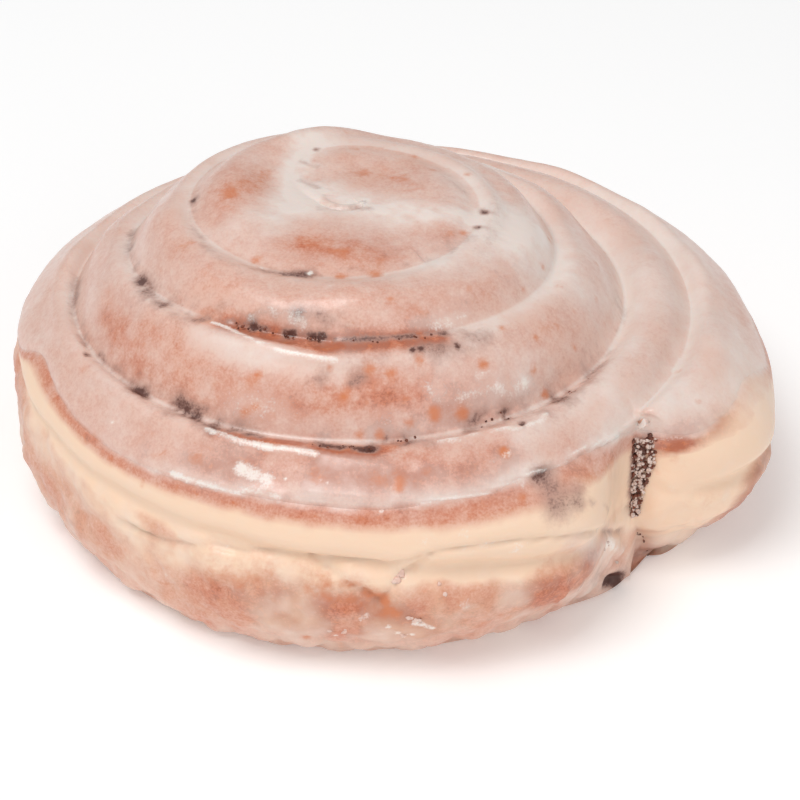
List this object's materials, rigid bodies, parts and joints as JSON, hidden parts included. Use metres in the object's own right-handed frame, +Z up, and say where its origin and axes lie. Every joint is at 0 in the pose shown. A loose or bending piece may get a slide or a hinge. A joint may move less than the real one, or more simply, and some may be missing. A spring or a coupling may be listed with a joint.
{
  "type": "cinnamon roll",
  "caption": "Glazed, fried cinnamon roll: a strip of dough wound into a domed, flat-footed spiral with a layer of cinnamon filling between its coils.",
  "frame": {"origin": "centre of the bounding box's underside, on the surface the roll rests on", "axes": "+Z up; -Y towards the picture's viewer; +X to the viewer's right, along the roll's longest extent"},
  "size_m": [0.1152, 0.1049, 0.0506],
  "materials": {
    "glazed_dough": "fried dough under a thin sugar glaze",
    "cinnamon_filling": "moist ground cinnamon and sugar"
  },
  "bodies": {
    "root": {"dough_coil": "glazed_dough", "cinnamon_filling": "cinnamon_filling"}
  },
  "joints": []
}
